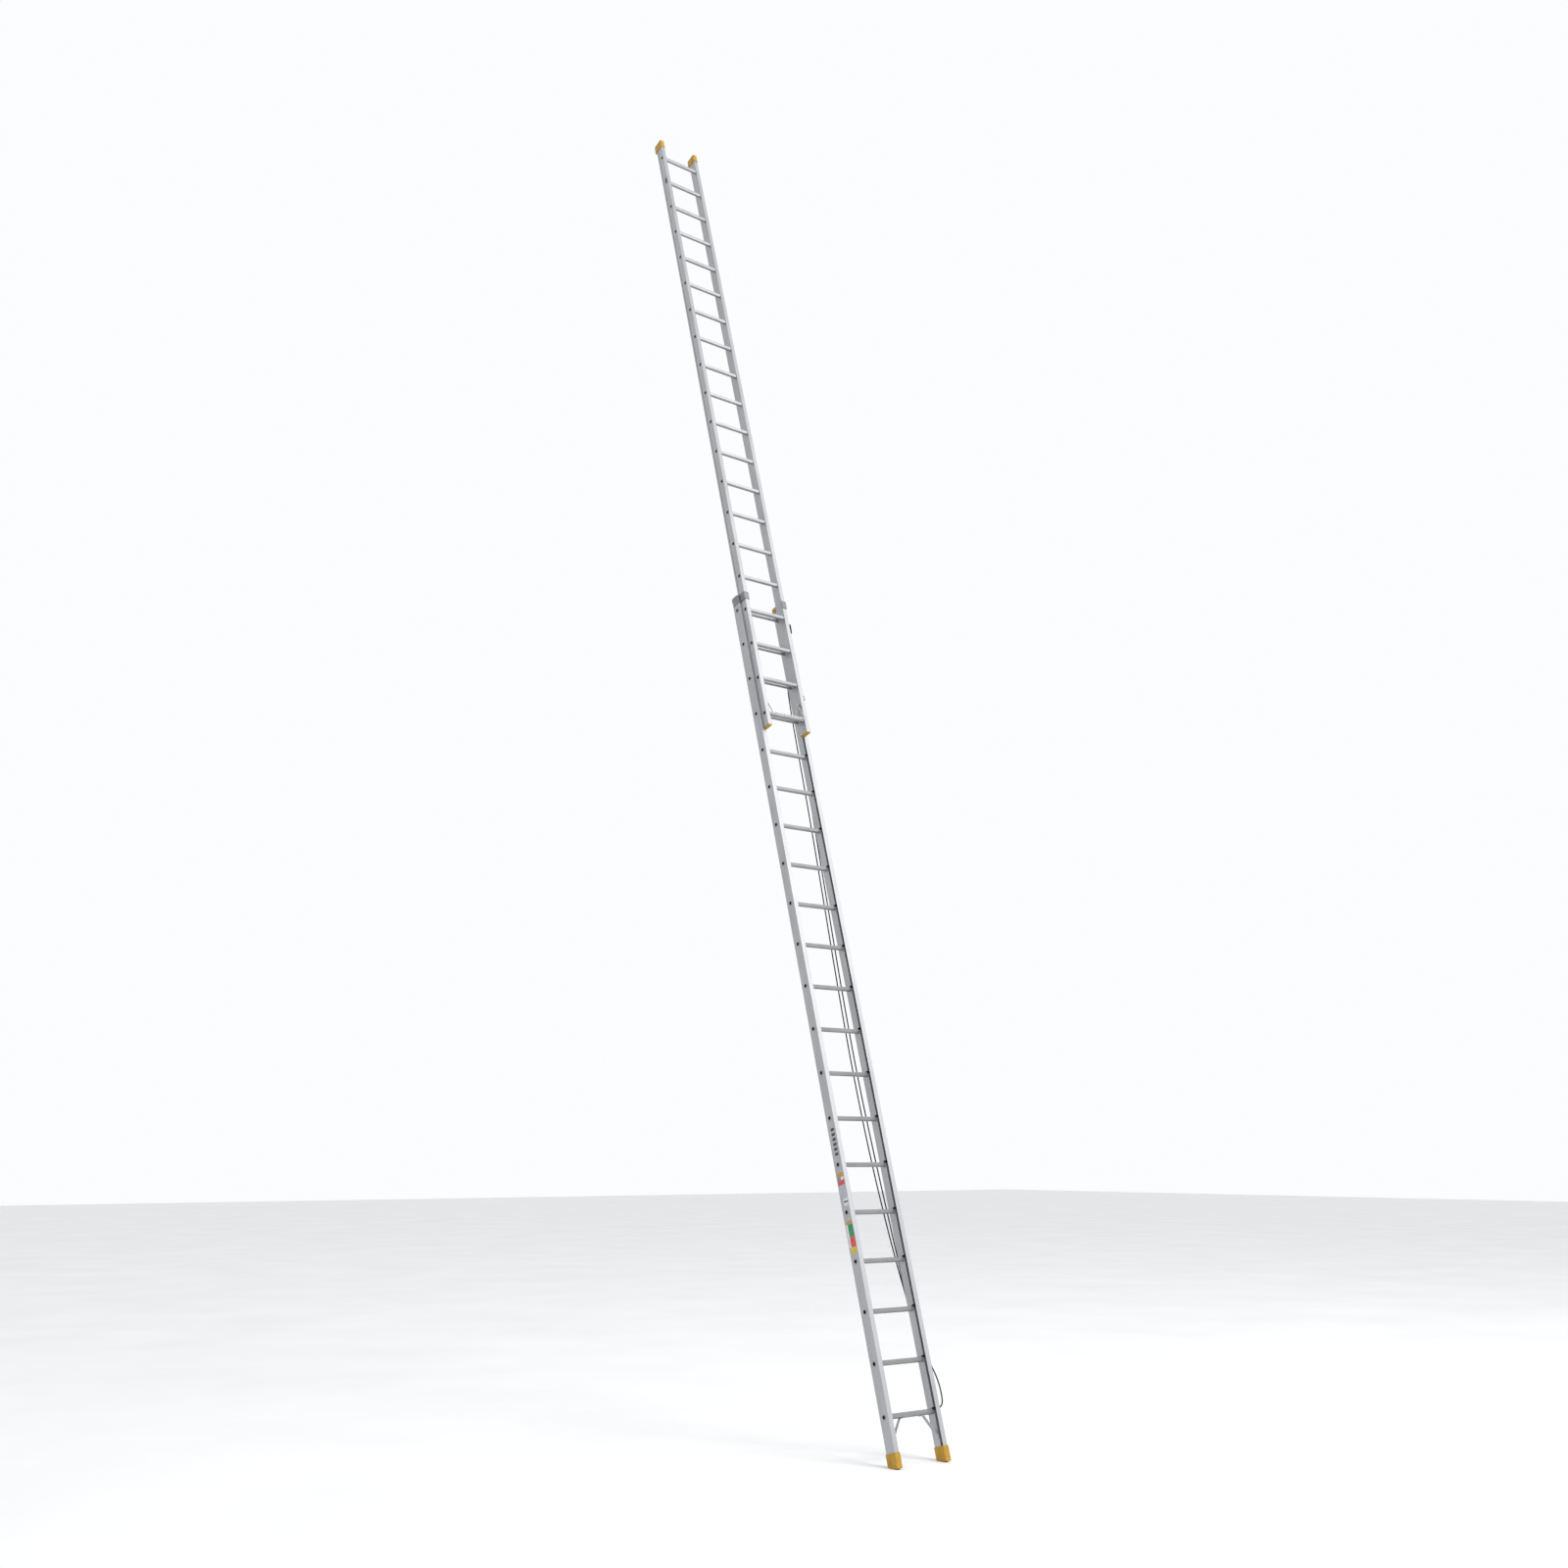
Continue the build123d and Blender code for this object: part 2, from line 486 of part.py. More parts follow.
def rope_tube(name, path):
    tube = sweep(Plane(origin=path @ 0, z_dir=path % 0) * Circle(ROPE_D / 2), path=path)
    expected = Circle(ROPE_D / 2).area * path.length
    print(name, "length", round(path.length), "volume ratio", round(tube.volume / expected, 4))
    return tube


def routed(name, route):
    points = [spot(*p) for p in route]
    radii = corner_radii(points)
    print(name, "radii", [round(r) for r in radii])
    return FilletPolyline(*points, radius=radii)


def rope_haul():
    top = spot(ROPE_ACROSS, SHEAVE_FRONT, SHEAVE_ALONG + SHEAVE_PITCH_R)
    over = ThreePointArc(spot(*LIFT_ROUTE[-1]), top, spot(*HAUL_ROUTE[0]))
    return rope_tube("rope_haul", Wire(over.edges() + routed("rope_haul", HAUL_ROUTE).edges()))


def rope_return():
    return rope_tube("rope_return", Wire(routed("rope_return", RETURN_ROUTE).edges()))


def rope_lift():
    return rope_tube("rope_lift", Wire(Polyline(*[spot(*p) for p in LIFT_ROUTE]).edges()))


# ---- output ----
def write(shape, node):
    export_step(shape.rotate(Axis.X, -LEAN_BACK), "parts/" + node + ".step")


def pair(solid):
    return Compound(children=[solid, left_of(solid)])


def main():
    os.makedirs("parts", exist_ok=True)
    write(left_of(base_stile()), "base_stile_left")
    write(base_stile_right(), "base_stile_right")
    write(left_of(fly_stile()), "fly_stile_left")
    write(fly_stile_right(), "fly_stile_right")
    base_rung = rung(0.0, 0.0, BASE_IN, BASE_X)
    fly_rung = rung(0.0, FLY_RUNG_FRONT, FLY_IN, FLY_X)
    for number in range(RUNGS):
        write(Pos(0, 0, BASE_RUNG_LEVELS[number]) * base_rung, f"base_rung_{number + 1:02d}")
        write(Pos(0, 0, FLY_RUNG_LEVELS[number]) * fly_rung, f"fly_rung_{number + 1:02d}")
    boot = foot()
    write(boot, "foot_right")
    write(left_of(boot), "foot_left")
    write(pair(base_top_cap()), "base_top_caps")
    write(Compound(children=both_sides([fly_top_cap(), fly_bottom_cap()])), "fly_end_caps")
    write(pair(guide_bracket()), "guide_brackets")
    write(pair(brace()), "rung_braces")
    write(base_rivets(), "base_rivets")
    write(fly_rivets(), "fly_rivets")
    write(rung_lock(), "rung_lock")
    write(pulley_block(), "pulley_block")
    write(pulley_axle(), "pulley_axle")
    write(pulley_wheel(), "pulley_wheel")
    write(rope_anchor(), "rope_anchor")
    write(rope_lift(), "rope_lift")
    write(rope_haul(), "rope_haul")
    write(rope_return(), "rope_return")


main()
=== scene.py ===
import json
import math

import bpy
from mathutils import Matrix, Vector


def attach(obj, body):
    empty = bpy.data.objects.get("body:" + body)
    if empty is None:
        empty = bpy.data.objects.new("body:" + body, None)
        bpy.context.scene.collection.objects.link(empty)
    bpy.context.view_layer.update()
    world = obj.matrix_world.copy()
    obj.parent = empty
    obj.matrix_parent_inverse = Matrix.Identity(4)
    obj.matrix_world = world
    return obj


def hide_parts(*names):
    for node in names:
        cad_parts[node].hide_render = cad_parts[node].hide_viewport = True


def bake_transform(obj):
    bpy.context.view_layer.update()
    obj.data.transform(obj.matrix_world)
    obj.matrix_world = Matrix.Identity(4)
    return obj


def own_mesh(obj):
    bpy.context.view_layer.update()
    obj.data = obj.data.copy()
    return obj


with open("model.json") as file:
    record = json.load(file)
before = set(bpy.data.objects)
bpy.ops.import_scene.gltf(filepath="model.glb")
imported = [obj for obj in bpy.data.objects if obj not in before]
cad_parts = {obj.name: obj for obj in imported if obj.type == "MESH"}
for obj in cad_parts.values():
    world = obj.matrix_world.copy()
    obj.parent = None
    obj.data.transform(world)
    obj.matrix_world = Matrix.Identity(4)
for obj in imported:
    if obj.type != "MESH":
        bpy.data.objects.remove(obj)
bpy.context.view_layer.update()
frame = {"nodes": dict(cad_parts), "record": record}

# ---- the ladder's own directions, and its driving sizes in millimetres ----
LEAN = math.radians(74)
LEAN_BACK = math.pi / 2 - LEAN
PITCH = 304.8
FIRST_RUNG = 285.0
BASE_X = 210.0
FLY_X = 194.0
ROPE_D = 9.0
ROPE_ACROSS = 226
LIFT_FRONT = 56.5          # front of the strand that runs up to the pulley
SHEAVE_ALONG = 5975
ANCHOR_ALONG = 5350.0
ANCHOR_HALF = 2.0
UP_LADDER = Vector((0, math.cos(LEAN), math.sin(LEAN)))
TO_CLIMBER = Vector((0, -math.sin(LEAN), math.cos(LEAN)))


def spot(across, front, along):
    """Point in metres, from millimetres across the rungs, towards the climber and up the stiles."""
    return (Vector((across, 0, 0)) + front * TO_CLIMBER + along * UP_LADDER) / 1000


# ---- camera ----
CAMERA_AT = (-6.56444, -7.45251, 1.77846)
CAMERA_YAW = math.radians(36.6811)
CAMERA_PITCH = math.radians(13.6537)
CAMERA_LENS = 35.378


def add_camera():
    data = bpy.data.cameras.new("camera")
    data.lens = CAMERA_LENS
    data.sensor_width = 36
    data.clip_end = 200
    camera = bpy.data.objects.new("camera", data)
    camera.location = CAMERA_AT
    camera.rotation_euler = (math.pi / 2 + CAMERA_PITCH, 0, -CAMERA_YAW)
    bpy.context.collection.objects.link(camera)
    bpy.context.scene.camera = camera


# ---- ropes ----
LIFT_LEVELS = (ANCHOR_ALONG + ANCHOR_HALF, 5450, 5920, SHEAVE_ALONG)
LIFT_ROUTE = [(ROPE_ACROSS, LIFT_FRONT, along) for along in LIFT_LEVELS]
HAUL_ROUTE = [
    (226, 56.5, 5975), (226, 56.5, 5986.8), (226, 48.2, 6003.5), (226, 28, 6011.8), (226, 7.8, 6003.5),
    (226, -0.5, 5986.8), (226, -0.5, 5975),
    (226, -0.5, 5895), (222, -22, 5795), (212, -50, 5680), (198, -60, 5550), (187, -64, 5380),
    (183, -69, 5050), (182, -79, 4450), (182, -101, 3800), (182, -129, 3100), (182, -142, 2480),
    (182, -129, 1880), (183, -97, 1420), (187, -71, 1140), (198, -56, 950), (208, -54, 810),
    (226, -46, 690), (252, -22, 570), (272, 4, 455), (268, 12, 328), (250, -8, 300),
    (224, -38, 300), (206, -58, 328), (206, -58, 365),
]
RETURN_ROUTE = [
    (206, -58, 365), (206, -58, 440), (208, -66, 560), (210, -69, 780), (209, -72, 1020),
    (208, -91, 1400), (206, -114, 1900), (205, -130, 2480), (205, -119, 3100), (205, -94, 3750),
    (206, -74, 4320), (208, -60, 4668), (214, -48, 4848), (222, -23, 4968), (226, 14, 5078),
    (226, 56.5, 5193), (ROPE_ACROSS, LIFT_FRONT, ANCHOR_ALONG - ANCHOR_HALF),
]
ROPE_SIDES = 12
ROPE_SAMPLES = 24
ROPE_STEP = 0.012           # metres between rings of a strand
LIFT_STEP = 0.006           # closer, since this strand is stretched most
KNOT_OFFSET = 14            # knots above and below the anchor, millimetres
KNOT_SIZE = 0.0025
KNOT_POINTS = 48
KNOT_SIDES = 10
BRAID_PITCH = 0.018


def spline_points(name, route, samples=ROPE_SAMPLES, closed=False):
    """Points along the smooth line that has the route as its control points."""
    curve = bpy.data.curves.new(name, "CURVE")
    curve.dimensions = "3D"
    spline = curve.splines.new("NURBS")
    spline.points.add(len(route) - 1)
    for point, place in zip(spline.points, route):
        point.co = (*place, 1)
    spline.order_u = 3
    spline.use_endpoint_u = not closed
    spline.use_cyclic_u = closed
    spline.resolution_u = samples
    holder = bpy.data.objects.new(name, curve)
    mesh = bpy.data.meshes.new_from_object(holder)
    points = [vertex.co.copy() for vertex in mesh.vertices]
    bpy.data.objects.remove(holder)
    bpy.data.curves.remove(curve)
    bpy.data.meshes.remove(mesh)
    return points


def line_length(points):
    return sum((b - a).length for a, b in zip(points, points[1:]))


def even_points(points, step):
    """The same line with a point every step, so that a straight stretch has as many rings as a bent one."""
    total = line_length(points)
    count = max(2, round(total / step))
    out, gone, index = [], 0.0, 0
    for k in range(count + 1):
        want = total * k / count
        while index < len(points) - 2 and gone + (points[index + 1] - points[index]).length < want:
            gone += (points[index + 1] - points[index]).length
            index += 1
        run = (points[index + 1] - points[index]).length
        share = min(1.0, (want - gone) / run) if run else 0.0
        out.append(points[index].lerp(points[index + 1], share))
    return out


def tube_mesh(name, points, radius, sides=ROPE_SIDES, closed=False):
    """Tube round a line, with its length along V in metres and its girth along U."""
    count = len(points)
    ahead = [(points[min(k + 1, count - 1)] - points[max(k - 1, 0)]).normalized() for k in range(count)]
    if closed:
        ahead = [(points[(k + 1) % count] - points[k - 1]).normalized() for k in range(count)]
    side = ahead[0].orthogonal().normalized()
    rings, lengths, gone = [], [], 0.0
    for k, point in enumerate(points):
        if k:
            gone += (point - points[k - 1]).length
            side = (side - side.dot(ahead[k]) * ahead[k]).normalized()
        across = ahead[k].cross(side)
        turns = [2 * math.pi * j / sides for j in range(sides)]
        rings.append([point + radius * (math.cos(t) * side + math.sin(t) * across) for t in turns])
        lengths.append(gone)
    verts = [place for ring in rings for place in ring]
    faces, corners = [], []
    for k in range(count if closed else count - 1):
        after = (k + 1) % count
        far = lengths[k + 1] if k + 1 < count else gone + (points[0] - points[-1]).length
        for j in range(sides):
            turn = (j + 1) % sides
            faces.append((k * sides + j, k * sides + turn, after * sides + turn, after * sides + j))
            u0, u1 = j / sides, (j + 1) / sides
            corners.append(((u0, lengths[k]), (u1, lengths[k]), (u1, far), (u0, far)))
    if not closed:
        for k, order in ((0, -1), (count - 1, 1)):
            middle = len(verts)
            verts.append(points[k])
            for j in range(sides):
                edge = [k * sides + j, k * sides + (j + 1) % sides][::order]
                faces.append((*edge, middle))
                corners.append(((j / sides, lengths[k]),) * 3)
    mesh = bpy.data.meshes.new(name)
    mesh.from_pydata([tuple(v) for v in verts], [], faces)
    layer = mesh.uv_layers.new(name="rope")
    loop = 0
    for uvs in corners:
        for uv in uvs:
            layer.data[loop].uv = uv
            loop += 1
    mesh.polygons.foreach_set("use_smooth", [True] * len(mesh.polygons))
    mesh.update()
    return mesh


def add_mesh(name, mesh, material):
    obj = bpy.data.objects.new(name, mesh)
    obj.data.materials.append(material)
    bpy.context.collection.objects.link(obj)
    return obj


def rope_strand(name, route, material, step=ROPE_STEP):
    points = spline_points(name, [spot(*place) for place in route])
    points = even_points(points, step)
    strand = add_mesh(name, tube_mesh(name, points, ROPE_D / 2000), material)
    return strand, points


def knot_points(centre, axis, size):
    """Closed overhand knot, as a trefoil whose flat side faces along axis."""
    first = axis.orthogonal().normalized()
    second = axis.cross(first)
    line = []
    for k in range(KNOT_POINTS):
        t = 2 * math.pi * k / KNOT_POINTS
        a = math.sin(t) + 2 * math.sin(2 * t)
        b = math.cos(t) - 2 * math.cos(2 * t)
        c = -math.sin(3 * t)
        line.append(centre + size * (a * first + b * second + 1.25 * c * axis))
    return line


def add_knot(name, centre, axis, size, radius, material):
    tube = tube_mesh(name, knot_points(centre, axis, size), radius, KNOT_SIDES, closed=True)
    return add_mesh(name, tube, material)


def add_ropes(material):
    lift, lift_line = rope_strand("rope_lift_strand", LIFT_ROUTE, material, LIFT_STEP)
    haul, haul_line = rope_strand("rope_haul_strand", HAUL_ROUTE, material)
    back, back_line = rope_strand("rope_return_strand", RETURN_ROUTE, material)
    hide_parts("rope_lift")
    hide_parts("rope_haul")
    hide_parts("rope_return")
    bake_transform(lift)
    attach(haul, "base")
    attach(back, "base")
    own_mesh(back)
    for name, gap in (("anchor_knot_upper", KNOT_OFFSET), ("anchor_knot_lower", -KNOT_OFFSET)):
        centre = spot(ROPE_ACROSS, LIFT_FRONT, ANCHOR_ALONG + gap)
        knot = add_knot(name, centre, UP_LADDER, KNOT_SIZE, ROPE_D / 2200, material)
        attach(knot, "fly")


# ---- material helpers ----
class Build:
    """Short calls that add and wire shader nodes."""

    def __init__(self, name):
        self.material = bpy.data.materials.new(name)
        self.material.use_nodes = True
        self.nodes = self.material.node_tree.nodes
        self.links = self.material.node_tree.links
        self.shader = self.nodes["Principled BSDF"]

    def add(self, kind, **values):
        node = self.nodes.new(kind)
        for name, value in values.items():
            setattr(node, name, value)
        return node

    def wire(self, source, target):
        self.links.new(source, target)

    def ladder(self, scale):
        """Coordinates across, back and up the ladder, scaled per direction."""
        where = self.add("ShaderNodeTexCoord")
        turn = self.add("ShaderNodeMapping")
        turn.inputs["Rotation"].default_value = (LEAN_BACK, 0, 0)
        self.wire(where.outputs["Object"], turn.inputs["Vector"])
        size = self.add("ShaderNodeMapping")
        size.inputs["Scale"].default_value = scale
        self.wire(turn.outputs["Vector"], size.inputs["Vector"])
        return size.outputs["Vector"]

    def noise(self, vector, scale, detail=3, roughness=0.5):
        node = self.add("ShaderNodeTexNoise")
        node.inputs["Scale"].default_value = scale
        node.inputs["Detail"].default_value = detail
        node.inputs["Roughness"].default_value = roughness
        self.wire(vector, node.inputs["Vector"])
        return node.outputs["Fac"]

    def ramp(self, factor, stops):
        node = self.add("ShaderNodeValToRGB")
        elements = node.color_ramp.elements
        while len(elements) < len(stops):
            elements.new(0.5)
        for element, (place, colour) in zip(elements, stops):
            element.position = place
            element.color = (*colour, 1)
        self.wire(factor, node.inputs["Fac"])
        return node.outputs["Color"]

    def grey_ramp(self, factor, low, high, start=0.3, end=0.7):
        return self.ramp(factor, [(start, (low,) * 3), (end, (high,) * 3)])

    def multiply(self, first, second, factor=1.0):
        node = self.add("ShaderNodeMix", data_type="RGBA", blend_type="MULTIPLY")
        node.inputs[0].default_value = factor
        self.wire(first, node.inputs[6])
        self.wire(second, node.inputs[7])
        return node.outputs[2]

    def mix(self, factor, first, second):
        node = self.add("ShaderNodeMix", data_type="RGBA")
        self.wire(factor, node.inputs[0])
        self.wire(first, node.inputs[6])
        self.wire(second, node.inputs[7])
        return node.outputs[2]

    def math(self, operation, first, second=None):
        node = self.add("ShaderNodeMath", operation=operation)
        for slot, value in zip(node.inputs, (first, second)):
            if isinstance(value, (int, float)):
                slot.default_value = value
            elif value is not None:
                self.wire(value, slot)
        return node.outputs[0]

    def bump(self, height, strength, distance):
        node = self.add("ShaderNodeBump")
        node.inputs["Strength"].default_value = strength
        node.inputs["Distance"].default_value = distance
        self.wire(height, node.inputs["Height"])
        self.wire(node.outputs["Normal"], self.shader.inputs["Normal"])

    def finish(self, colour, roughness, metallic):
        self.wire(colour, self.shader.inputs["Base Color"])
        self.wire(roughness, self.shader.inputs["Roughness"])
        self.shader.inputs["Metallic"].default_value = metallic
        return self.material


# ---- metals ----
BORE_R = 11.2               # shaded radius round a rung axis
STILE_INNER = 162.0         # the shading starts this far across, inside the stiles
RUNG_GRAIN = (1.5, 700, 700)
RUNG_DARK = (0.24, 0.245, 0.25)
RUNG_LIGHT = (0.34, 0.345, 0.35)
BASE_RUNG = (0.0, FIRST_RUNG)        # front and height along of a section's first rung
FLY_RUNG = (79.0, 5129.8)
STILE_DARK = (0.38, 0.385, 0.40)
STILE_LIGHT = (0.47, 0.475, 0.49)
BRACKET_DARK = (0.17, 0.175, 0.185)
BRACKET_LIGHT = (0.23, 0.235, 0.245)


def bore_shadow(make, front, first_rung):
    """Painted shade inside the open rung ends, which repeat up the stile at the rung pitch."""
    split = make.add("ShaderNodeSeparateXYZ")
    make.wire(make.ladder((1, 1, 1)), split.inputs["Vector"])
    aside = make.math("ADD", split.outputs["Y"], front / 1000)
    level = make.math("SUBTRACT", split.outputs["Z"], (first_rung - PITCH / 2) / 1000)
    level = make.math("MODULO", level, PITCH / 1000)
    level = make.math("SUBTRACT", level, PITCH / 2000)
    reach = make.math("ADD", make.math("MULTIPLY", aside, aside), make.math("MULTIPLY", level, level))
    inside = make.math("LESS_THAN", reach, (BORE_R / 1000) ** 2)
    outside = make.math("GREATER_THAN", make.math("ABSOLUTE", split.outputs["X"]), STILE_INNER / 1000)
    return make.math("MULTIPLY", inside, outside)


def extruded_aluminium(name, grain, low, high, bores=None):
    """Mill-finish extrusion: die lines along its length, handling marks, clouds, and painted shade in the
    open bores.
    """
    make = Build(name)
    lines = make.noise(make.ladder(grain), 1.0, 5, 0.65)
    clouds = make.noise(make.ladder((1, 1, 0.35)), 9.0, 3)
    scuffs = make.noise(make.ladder((1, 1, 1)), 160.0, 2)
    colour = make.ramp(lines, [(0.25, low), (0.75, high)])
    colour = make.multiply(colour, make.grey_ramp(clouds, 0.86, 1.0), 1.0)
    colour = make.multiply(colour, make.grey_ramp(scuffs, 0.94, 1.0, 0.35, 0.5), 1.0)
    rough = make.math("MULTIPLY_ADD", lines, 0.22)
    rough.node.inputs[2].default_value = 0.33
    make.bump(lines, 0.25, 0.0002)
    if bores:
        # painted shade: near-black colour laid into the open rung bores, where the hollow tube lies in shade
        dark = make.add("ShaderNodeRGB")
        dark.outputs[0].default_value = (0.004, 0.004, 0.005, 1)
        colour = make.mix(bore_shadow(make, *bores), colour, dark.outputs[0])
    return make.finish(colour, rough, 0.6)


def zinc_plate():
    """Bright zinc plating: small spangle and a faint warm and cool drift."""
    make = Build("zinc_plate")
    where = make.ladder((1, 1, 1))
    cells = make.add("ShaderNodeTexVoronoi")
    cells.inputs["Scale"].default_value = 420.0
    make.wire(where, cells.inputs["Vector"])
    drift = make.noise(where, 40.0, 2)
    colour = make.ramp(drift, [(0.3, (0.50, 0.50, 0.49)), (0.7, (0.62, 0.63, 0.66))])
    colour = make.multiply(colour, make.grey_ramp(cells.outputs["Distance"], 0.82, 1.0, 0.0, 0.6), 1.0)
    rough = make.grey_ramp(cells.outputs["Distance"], 0.24, 0.38, 0.0, 0.6)
    make.bump(cells.outputs["Distance"], 0.1, 0.0002)
    return make.finish(colour, rough, 1.0)


# ---- mouldings, rope and labels ----
def moulded_yellow():
    """Yellow rubber moulding: fine grain and slight blotches of colour."""
    make = Build("moulded_yellow")
    where = make.ladder((1, 1, 1))
    grain = make.noise(where, 900.0, 2)
    blotch = make.noise(where, 28.0, 4)
    colour = make.ramp(blotch, [(0.3, (0.36, 0.19, 0.004)), (0.7, (0.48, 0.27, 0.010))])
    colour = make.multiply(colour, make.grey_ramp(grain, 0.88, 1.0), 1.0)
    rough = make.grey_ramp(grain, 0.42, 0.6)
    make.bump(grain, 0.2, 0.0004)
    return make.finish(colour, rough, 0.0)


def sheave_plastic():
    make = Build("sheave_plastic")
    where = make.ladder((1, 1, 1))
    grain = make.noise(where, 700.0, 3)
    worn = make.noise(where, 90.0, 3)
    colour = make.ramp(worn, [(0.35, (0.018, 0.018, 0.02)), (0.65, (0.05, 0.05, 0.052))])
    rough = make.grey_ramp(grain, 0.38, 0.62)
    make.bump(grain, 0.15, 0.0003)
    return make.finish(colour, rough, 0.0)


def braided_rope():
    """Dark braided cord: two sets of strands cross round the rope, with a paler fleck woven in."""
    make = Build("braided_rope")
    where = make.add("ShaderNodeUVMap", uv_map="rope")
    split = make.add("ShaderNodeSeparateXYZ")
    make.wire(where.outputs["UV"], split.inputs["Vector"])
    round_turn = make.math("MULTIPLY", split.outputs["X"], 2 * math.pi * 4)
    forward = make.math("MULTIPLY", split.outputs["Y"], 2 * math.pi / BRAID_PITCH)
    left = make.math("SINE", make.math("ADD", round_turn, forward))
    right = make.math("SINE", make.math("SUBTRACT", round_turn, forward))
    weave = make.math("MAXIMUM", left, right)
    weave = make.math("MULTIPLY_ADD", weave, 0.5)
    weave.node.inputs[2].default_value = 0.5
    fleck = make.noise(where.outputs["UV"], 60.0, 2)
    colour = make.ramp(weave, [(0.2, (0.004, 0.004, 0.005)), (0.9, (0.016, 0.016, 0.018))])
    pale = make.ramp(fleck, [(0.60, (0.0, 0.0, 0.0)), (0.66, (1.0, 1.0, 1.0))])
    light = make.add("ShaderNodeRGB")
    light.outputs[0].default_value = (0.05, 0.05, 0.048, 1)
    colour = make.mix(pale, colour, light.outputs[0])
    rough = make.grey_ramp(weave, 0.75, 0.92)
    make.bump(weave, 0.6, 0.0008)
    return make.finish(colour, rough, 0.0)


def label_ink(name, colour):
    """Printed vinyl: a slight grain in the ink and a film that is glossier than the metal."""
    make = Build(name)
    where = make.ladder((1, 1, 1))
    grain = make.noise(where, 500.0, 2)
    fade = make.noise(where, 35.0, 3)
    dark = tuple(0.82 * value for value in colour)
    shade = make.ramp(fade, [(0.3, dark), (0.7, colour)])
    shade = make.multiply(shade, make.grey_ramp(grain, 0.9, 1.0), 1.0)
    rough = make.grey_ramp(grain, 0.28, 0.42)
    return make.finish(shade, rough, 0.0)


# ---- CAD nodes take their finishes ----
def paint_nodes(finishes):
    slots = {part["node"]: part["material_slot"] for part in frame["record"]["subparts"]}
    for name, node in frame["nodes"].items():
        finish = finishes.get(name, finishes[slots[name]])
        if "_rung_" in name:
            finish = finishes["fly_rung" if name.startswith("fly") else "base_rung"]
        node.data.materials.clear()
        node.data.materials.append(finish)


# ---- labels on the outer web of the left stiles ----
LABEL_LIFT = 0.25
LABEL_BLOCKS = [
    ("orange", 1728, 1755, -31, 31), ("blue", 1709, 1727, -31, 2), ("white", 1709, 1727, 2, 31),
    ("red", 1678, 1708, -31, 31),
    ("silver", 1592, 1674, -33, 33), ("white", 1545, 1590, -12, 33), ("orange", 1566, 1574, -8, 30),
    ("orange", 1432, 1450, -24, 34), ("white", 1288, 1429, -34, -14), ("green", 1353, 1429, -14, 34),
    ("red", 1288, 1352, -14, 34), ("yellow", 1249, 1287, -22, 34),
]
LABEL_COLOURS = {
    "orange": (0.52, 0.27, 0.05), "blue": (0.12, 0.26, 0.42), "white": (0.66, 0.68, 0.68),
    "red": (0.62, 0.06, 0.07), "silver": (0.42, 0.43, 0.46), "green": (0.02, 0.24, 0.09),
    "yellow": (0.60, 0.47, 0.02), "ink": (0.03, 0.03, 0.035),
}


def label_patch(name, stile_x, low, high, back, front, material):
    """Thin film with rounded corners on the outer face of a left stile."""
    corner = min(3.0, (high - low) / 3, (front - back) / 3)
    outline = []
    for f, s, start in ((front, high, 0), (back, high, 90), (back, low, 180), (front, low, 270)):
        inward_f = -corner if f == front else corner
        inward_s = -corner if s == high else corner
        for step in range(5):
            turn = math.radians(start + 22.5 * step)
            outline.append((f + inward_f + corner * math.cos(turn), s + inward_s + corner * math.sin(turn)))
    outer = [spot(stile_x - LABEL_LIFT, f, s) for f, s in outline]
    inner = [spot(stile_x - 0.02, f, s) for f, s in outline]
    count = len(outline)
    faces = [tuple(range(count)), tuple(reversed(range(count, 2 * count)))]
    faces += [(k, k + count, (k + 1) % count + count, (k + 1) % count) for k in range(count)]
    mesh = bpy.data.meshes.new(name)
    mesh.from_pydata([tuple(v) for v in outer + inner], [], faces)
    mesh.update()
    return add_mesh(name, mesh, material)


def add_labels():
    inks = {name: label_ink("ink_" + name, colour) for name, colour in LABEL_COLOURS.items()}
    for number, (ink, low, high, back, front) in enumerate(LABEL_BLOCKS, 1):
        patch = label_patch(f"label_{number:02d}_{ink}", -BASE_X, low, high, back, front, inks[ink])
        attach(patch, "base")
    for number in range(6):
        middle = 1876 + 32 * number
        dash = label_patch(f"stripe_{number + 1:02d}", -BASE_X, middle - 9, middle + 9, -11, 23, inks["ink"])
        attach(dash, "base")
    small = label_patch("fly_label", -FLY_X, 10608, 10668, 62, 92, inks["ink"])
    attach(small, "fly")


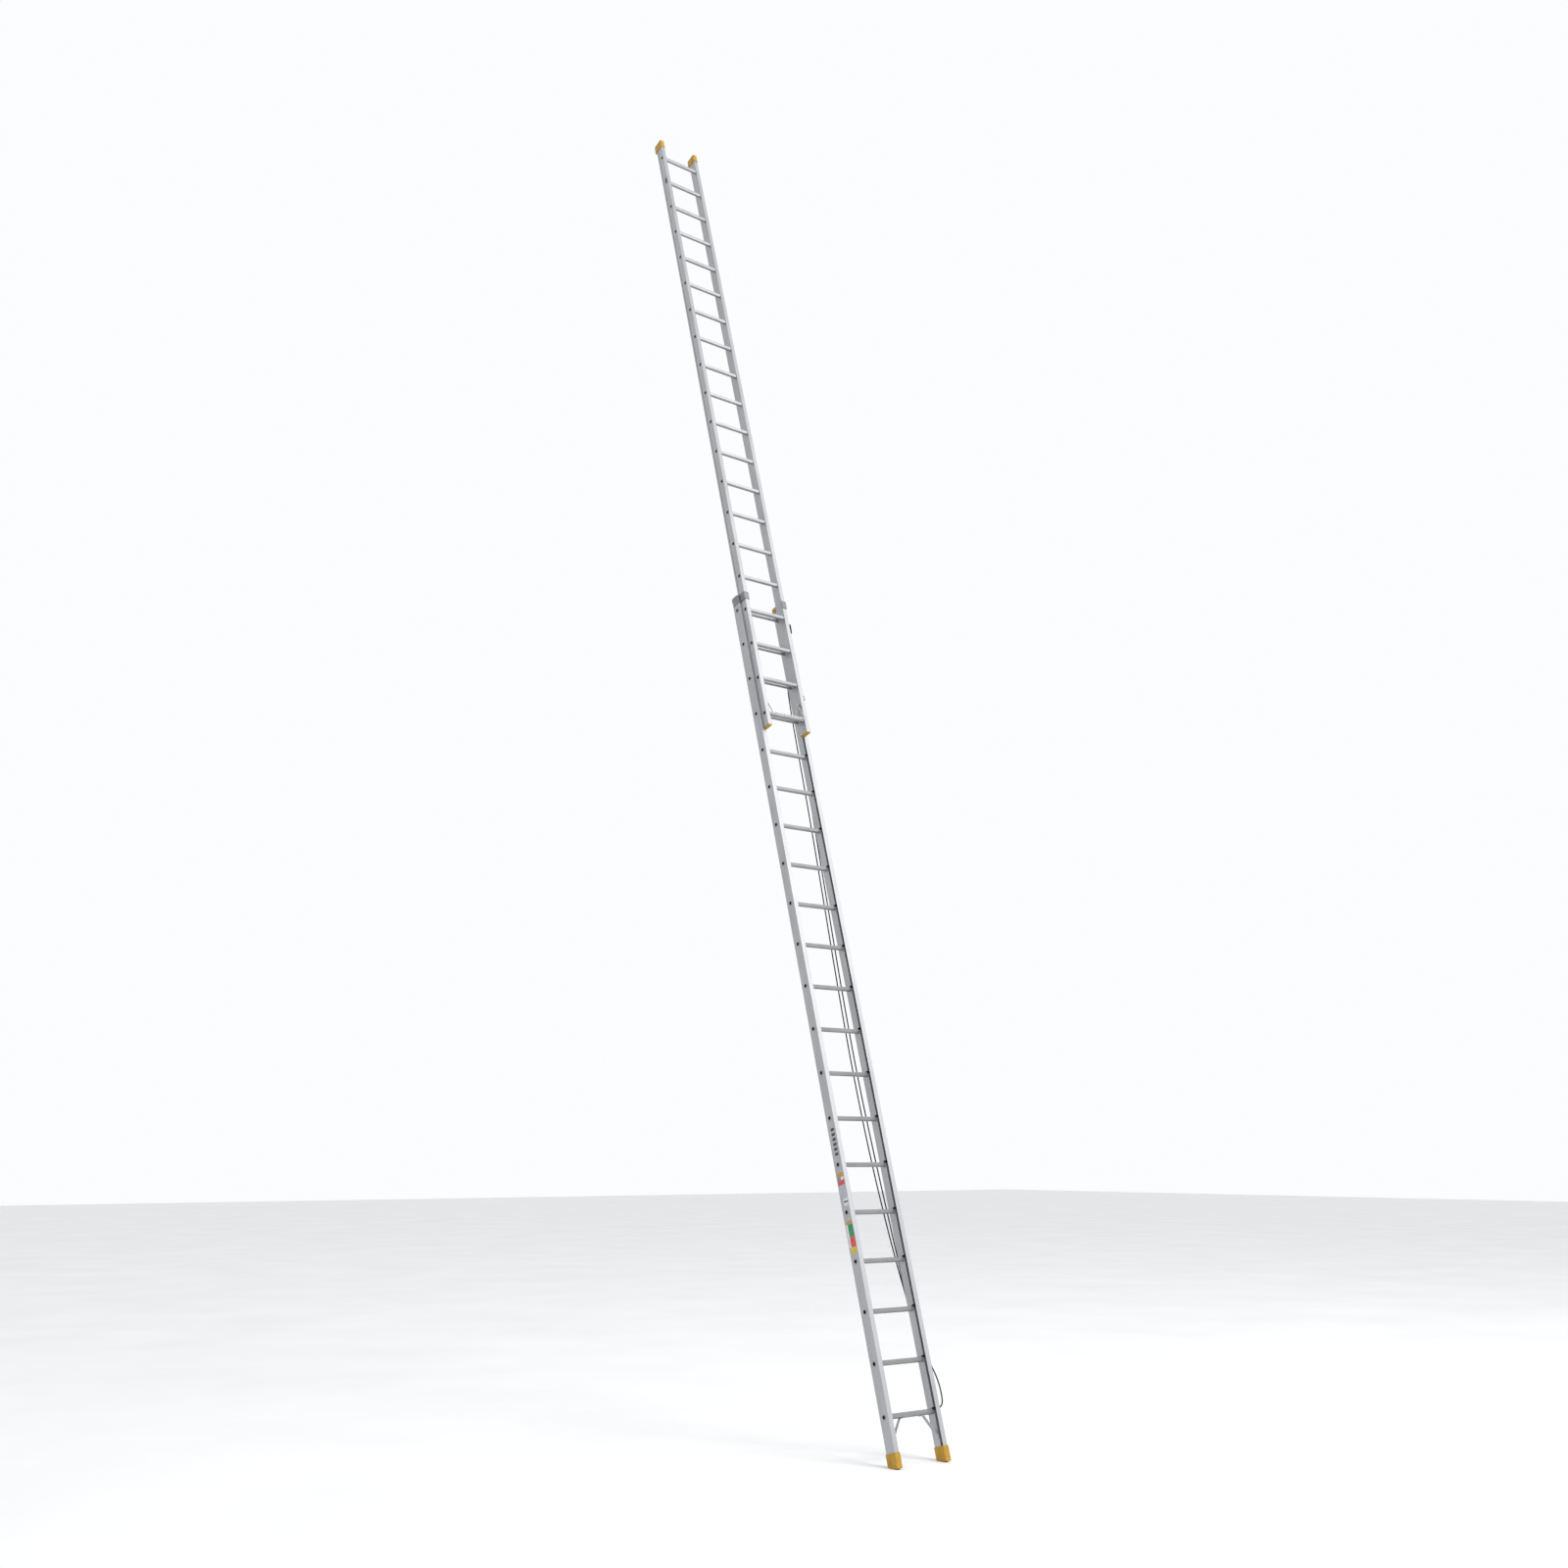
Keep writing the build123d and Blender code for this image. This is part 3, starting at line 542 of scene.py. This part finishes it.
# ---- floor and light ----
def add_floor():
    size = 60.0
    mesh = bpy.data.meshes.new("floor")
    corners = [(-size, -size, 0), (size, -size, 0), (size, size, 0), (-size, size, 0)]
    mesh.from_pydata(corners, [], [(0, 1, 2, 3)])
    make = Build("floor_paint")
    where = make.add("ShaderNodeTexCoord").outputs["Object"]
    colour = make.grey_ramp(make.noise(where, 0.8, 4), 0.76, 0.80)
    rough = make.grey_ramp(make.noise(where, 6.0, 3), 0.75, 0.85)
    floor = add_mesh("floor", mesh, make.finish(colour, rough, 0.0))
    floor.location.z = -0.001


def add_softbox(name, at, aim, size, power):
    data = bpy.data.lights.new(name, "AREA")
    data.shape = "SQUARE"
    data.size = size
    data.energy = power
    light = bpy.data.objects.new(name, data)
    light.location = at
    light.rotation_euler = (Vector(aim) - Vector(at)).to_track_quat("-Z", "Y").to_euler()
    light.visible_camera = False
    bpy.context.collection.objects.link(light)


def add_light():
    world = bpy.data.worlds.new("studio")
    world.use_nodes = True
    world.node_tree.nodes["Background"].inputs["Color"].default_value = (0.97, 0.98, 1.0, 1)
    world.node_tree.nodes["Background"].inputs["Strength"].default_value = 1.0
    bpy.context.scene.world = world
    bpy.context.scene.view_settings.view_transform = "Standard"
    add_softbox("climber_side", (4.0, -12.0, 13.0), (0.0, 2.4, 8.5), 8.0, 2300)


# ---- scene ----
add_camera()
add_ropes(braided_rope())
paint_nodes({
    "aluminium": extruded_aluminium("extruded_aluminium", (500, 500, 1.5), STILE_DARK, STILE_LIGHT),
    "guide_brackets": extruded_aluminium("bracket_aluminium", (500, 500, 3), BRACKET_DARK, BRACKET_LIGHT),
    "base_rung": extruded_aluminium("base_rung_aluminium", RUNG_GRAIN, RUNG_DARK, RUNG_LIGHT, BASE_RUNG),
    "fly_rung": extruded_aluminium("fly_rung_aluminium", RUNG_GRAIN, RUNG_DARK, RUNG_LIGHT, FLY_RUNG),
    "yellow_moulding": moulded_yellow(),
    "zinc_steel": zinc_plate(),
    "sheave_plastic": sheave_plastic(),
    "rope": bpy.data.materials["braided_rope"],
})
add_labels()
add_floor()
add_light()
